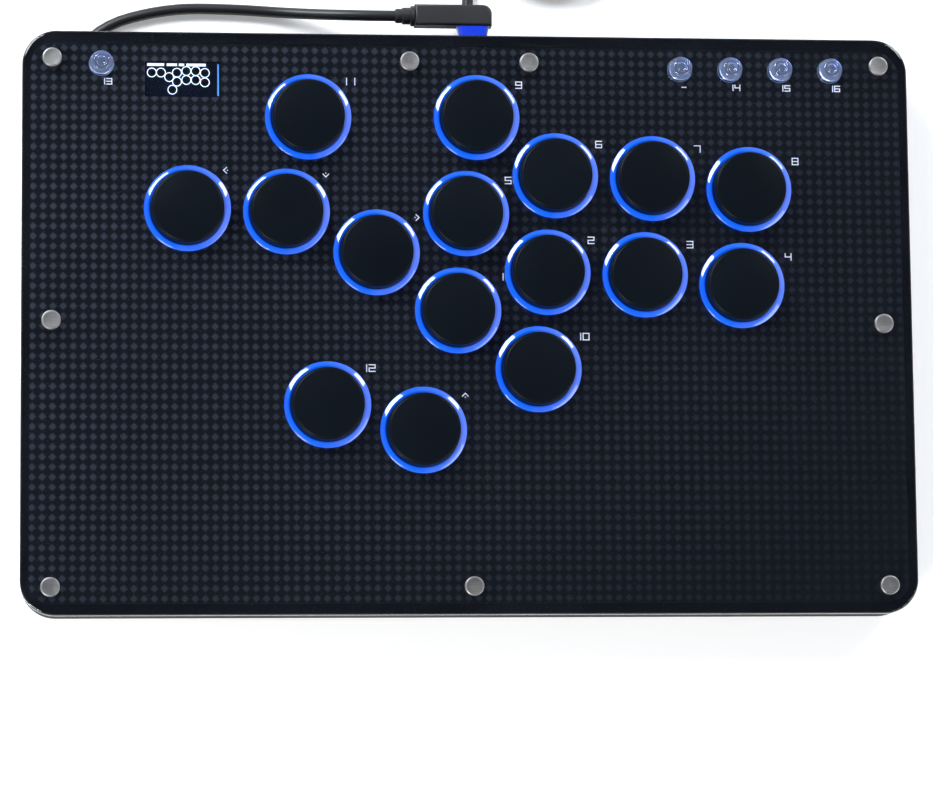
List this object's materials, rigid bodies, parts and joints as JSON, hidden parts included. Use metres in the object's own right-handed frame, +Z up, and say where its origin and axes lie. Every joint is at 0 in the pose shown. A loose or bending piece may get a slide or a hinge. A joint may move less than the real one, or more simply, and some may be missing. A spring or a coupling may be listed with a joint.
{
  "type": "leverless arcade control panel",
  "caption": "Flat rectangular all-button arcade control panel with domed round plungers in lit clear collars, a clear top cover, a small display, rubber feet and a trailing lead.",
  "frame": {"origin": "on the table under the middle of the panel, at the undersides of the feet", "axes": "+Z up, +X along the panel's length to the player's right, +Y towards the back edge where the lead leaves"},
  "size_m": [0.3, 0.282, 0.028],
  "materials": {
    "shell_black": "gloss black moulding",
    "clear_acrylic": "polished clear acrylic",
    "printed_sheet": "printed woven pattern",
    "plate_steel": "brushed",
    "board_green": "solder mask",
    "switch_black": "moulded",
    "stem_red": "moulded",
    "spring_steel": "drawn wire",
    "collar_clear": "clear, lit blue",
    "chip_black": "moulded",
    "fastener_silver": "turned flat head",
    "post_brass": "turned",
    "foot_rubber": "moulded rubber",
    "display_dark": "dark display",
    "socket_steel": "stamped",
    "plug_blue": "lit blue",
    "grip_black": "moulded",
    "cable_black": "soft jacket",
    "cap_black": "fine matt",
    "function_clear": "clear, lit blue-white"
  },
  "bodies": {
    "root": {"bottom_shell": "shell_black", "clear_cover": "clear_acrylic", "art_sheet": "printed_sheet", "switch_plate": "plate_steel", "main_board": "board_green", "switch_bases": "switch_black", "switch_tops": "switch_black", "switch_springs": "spring_steel", "button_collars": "collar_clear", "board_chips": "chip_black", "cover_screws": "fastener_silver", "base_screws": "fastener_silver", "posts": "post_brass", "display_board": "board_green", "display_glass": "display_dark", "usb_socket": "socket_steel", "function_switches": "switch_black", "rubber_feet": "foot_rubber", "plug_grip": "grip_black", "plug_shell": "plug_blue", "cable": "cable_black", "cable_coil": "cable_black", "far_plug": "grip_black"},
    "button_left": {"cap_left": "cap_black", "stem_left": "stem_red"},
    "button_down": {"cap_down": "cap_black", "stem_down": "stem_red"},
    "button_right": {"cap_right": "cap_black", "stem_right": "stem_red"},
    "button_up": {"cap_up": "cap_black", "stem_up": "stem_red"},
    "button_action_1": {"cap_action_1": "cap_black", "stem_action_1": "stem_red"},
    "button_action_2": {"cap_action_2": "cap_black", "stem_action_2": "stem_red"},
    "button_action_3": {"cap_action_3": "cap_black", "stem_action_3": "stem_red"},
    "button_action_4": {"cap_action_4": "cap_black", "stem_action_4": "stem_red"},
    "button_action_5": {"cap_action_5": "cap_black", "stem_action_5": "stem_red"},
    "button_action_6": {"cap_action_6": "cap_black", "stem_action_6": "stem_red"},
    "button_action_7": {"cap_action_7": "cap_black", "stem_action_7": "stem_red"},
    "button_action_8": {"cap_action_8": "cap_black", "stem_action_8": "stem_red"},
    "button_extra_1": {"cap_extra_1": "cap_black", "stem_extra_1": "stem_red"},
    "button_extra_2": {"cap_extra_2": "cap_black", "stem_extra_2": "stem_red"},
    "button_extra_3": {"cap_extra_3": "cap_black", "stem_extra_3": "stem_red"},
    "button_extra_4": {"cap_extra_4": "cap_black", "stem_extra_4": "stem_red"},
    "button_function_1": {"cap_function_1": "function_clear"},
    "button_function_2": {"cap_function_2": "function_clear"},
    "button_function_3": {"cap_function_3": "function_clear"},
    "button_function_4": {"cap_function_4": "function_clear"},
    "button_function_5": {"cap_function_5": "function_clear"}
  },
  "joints": [
    {"name": "press_left", "type": "slide", "parent": "root", "child": "button_left", "axis": [0, 0, -1], "range_m": [0, 0.003], "stiffness_N_per_m": 120, "springref_m": -0.0025, "deforming": ["switch_springs"]},
    {"name": "press_down", "type": "slide", "parent": "root", "child": "button_down", "axis": [0, 0, -1], "range_m": [0, 0.003], "stiffness_N_per_m": 120, "springref_m": -0.0025, "deforming": ["switch_springs"]},
    {"name": "press_right", "type": "slide", "parent": "root", "child": "button_right", "axis": [0, 0, -1], "range_m": [0, 0.003], "stiffness_N_per_m": 120, "springref_m": -0.0025, "deforming": ["switch_springs"]},
    {"name": "press_up", "type": "slide", "parent": "root", "child": "button_up", "axis": [0, 0, -1], "range_m": [0, 0.003], "stiffness_N_per_m": 120, "springref_m": -0.0025, "deforming": ["switch_springs"]},
    {"name": "press_action_1", "type": "slide", "parent": "root", "child": "button_action_1", "axis": [0, 0, -1], "range_m": [0, 0.003], "stiffness_N_per_m": 120, "springref_m": -0.0025, "deforming": ["switch_springs"]},
    {"name": "press_action_2", "type": "slide", "parent": "root", "child": "button_action_2", "axis": [0, 0, -1], "range_m": [0, 0.003], "stiffness_N_per_m": 120, "springref_m": -0.0025, "deforming": ["switch_springs"]},
    {"name": "press_action_3", "type": "slide", "parent": "root", "child": "button_action_3", "axis": [0, 0, -1], "range_m": [0, 0.003], "stiffness_N_per_m": 120, "springref_m": -0.0025, "deforming": ["switch_springs"]},
    {"name": "press_action_4", "type": "slide", "parent": "root", "child": "button_action_4", "axis": [0, 0, -1], "range_m": [0, 0.003], "stiffness_N_per_m": 120, "springref_m": -0.0025, "deforming": ["switch_springs"]},
    {"name": "press_action_5", "type": "slide", "parent": "root", "child": "button_action_5", "axis": [0, 0, -1], "range_m": [0, 0.003], "stiffness_N_per_m": 120, "springref_m": -0.0025, "deforming": ["switch_springs"]},
    {"name": "press_action_6", "type": "slide", "parent": "root", "child": "button_action_6", "axis": [0, 0, -1], "range_m": [0, 0.003], "stiffness_N_per_m": 120, "springref_m": -0.0025, "deforming": ["switch_springs"]},
    {"name": "press_action_7", "type": "slide", "parent": "root", "child": "button_action_7", "axis": [0, 0, -1], "range_m": [0, 0.003], "stiffness_N_per_m": 120, "springref_m": -0.0025, "deforming": ["switch_springs"]},
    {"name": "press_action_8", "type": "slide", "parent": "root", "child": "button_action_8", "axis": [0, 0, -1], "range_m": [0, 0.003], "stiffness_N_per_m": 120, "springref_m": -0.0025, "deforming": ["switch_springs"]},
    {"name": "press_extra_1", "type": "slide", "parent": "root", "child": "button_extra_1", "axis": [0, 0, -1], "range_m": [0, 0.003], "stiffness_N_per_m": 120, "springref_m": -0.0025, "deforming": ["switch_springs"]},
    {"name": "press_extra_2", "type": "slide", "parent": "root", "child": "button_extra_2", "axis": [0, 0, -1], "range_m": [0, 0.003], "stiffness_N_per_m": 120, "springref_m": -0.0025, "deforming": ["switch_springs"]},
    {"name": "press_extra_3", "type": "slide", "parent": "root", "child": "button_extra_3", "axis": [0, 0, -1], "range_m": [0, 0.003], "stiffness_N_per_m": 120, "springref_m": -0.0025, "deforming": ["switch_springs"]},
    {"name": "press_extra_4", "type": "slide", "parent": "root", "child": "button_extra_4", "axis": [0, 0, -1], "range_m": [0, 0.003], "stiffness_N_per_m": 120, "springref_m": -0.0025, "deforming": ["switch_springs"]},
    {"name": "press_function_1", "type": "slide", "parent": "root", "child": "button_function_1", "axis": [0, 0, -1], "range_m": [0, 0.0003], "stiffness_N_per_m": 400, "springref_m": -0.001},
    {"name": "press_function_2", "type": "slide", "parent": "root", "child": "button_function_2", "axis": [0, 0, -1], "range_m": [0, 0.0003], "stiffness_N_per_m": 400, "springref_m": -0.001},
    {"name": "press_function_3", "type": "slide", "parent": "root", "child": "button_function_3", "axis": [0, 0, -1], "range_m": [0, 0.0003], "stiffness_N_per_m": 400, "springref_m": -0.001},
    {"name": "press_function_4", "type": "slide", "parent": "root", "child": "button_function_4", "axis": [0, 0, -1], "range_m": [0, 0.0003], "stiffness_N_per_m": 400, "springref_m": -0.001},
    {"name": "press_function_5", "type": "slide", "parent": "root", "child": "button_function_5", "axis": [0, 0, -1], "range_m": [0, 0.0003], "stiffness_N_per_m": 400, "springref_m": -0.001}
  ]
}
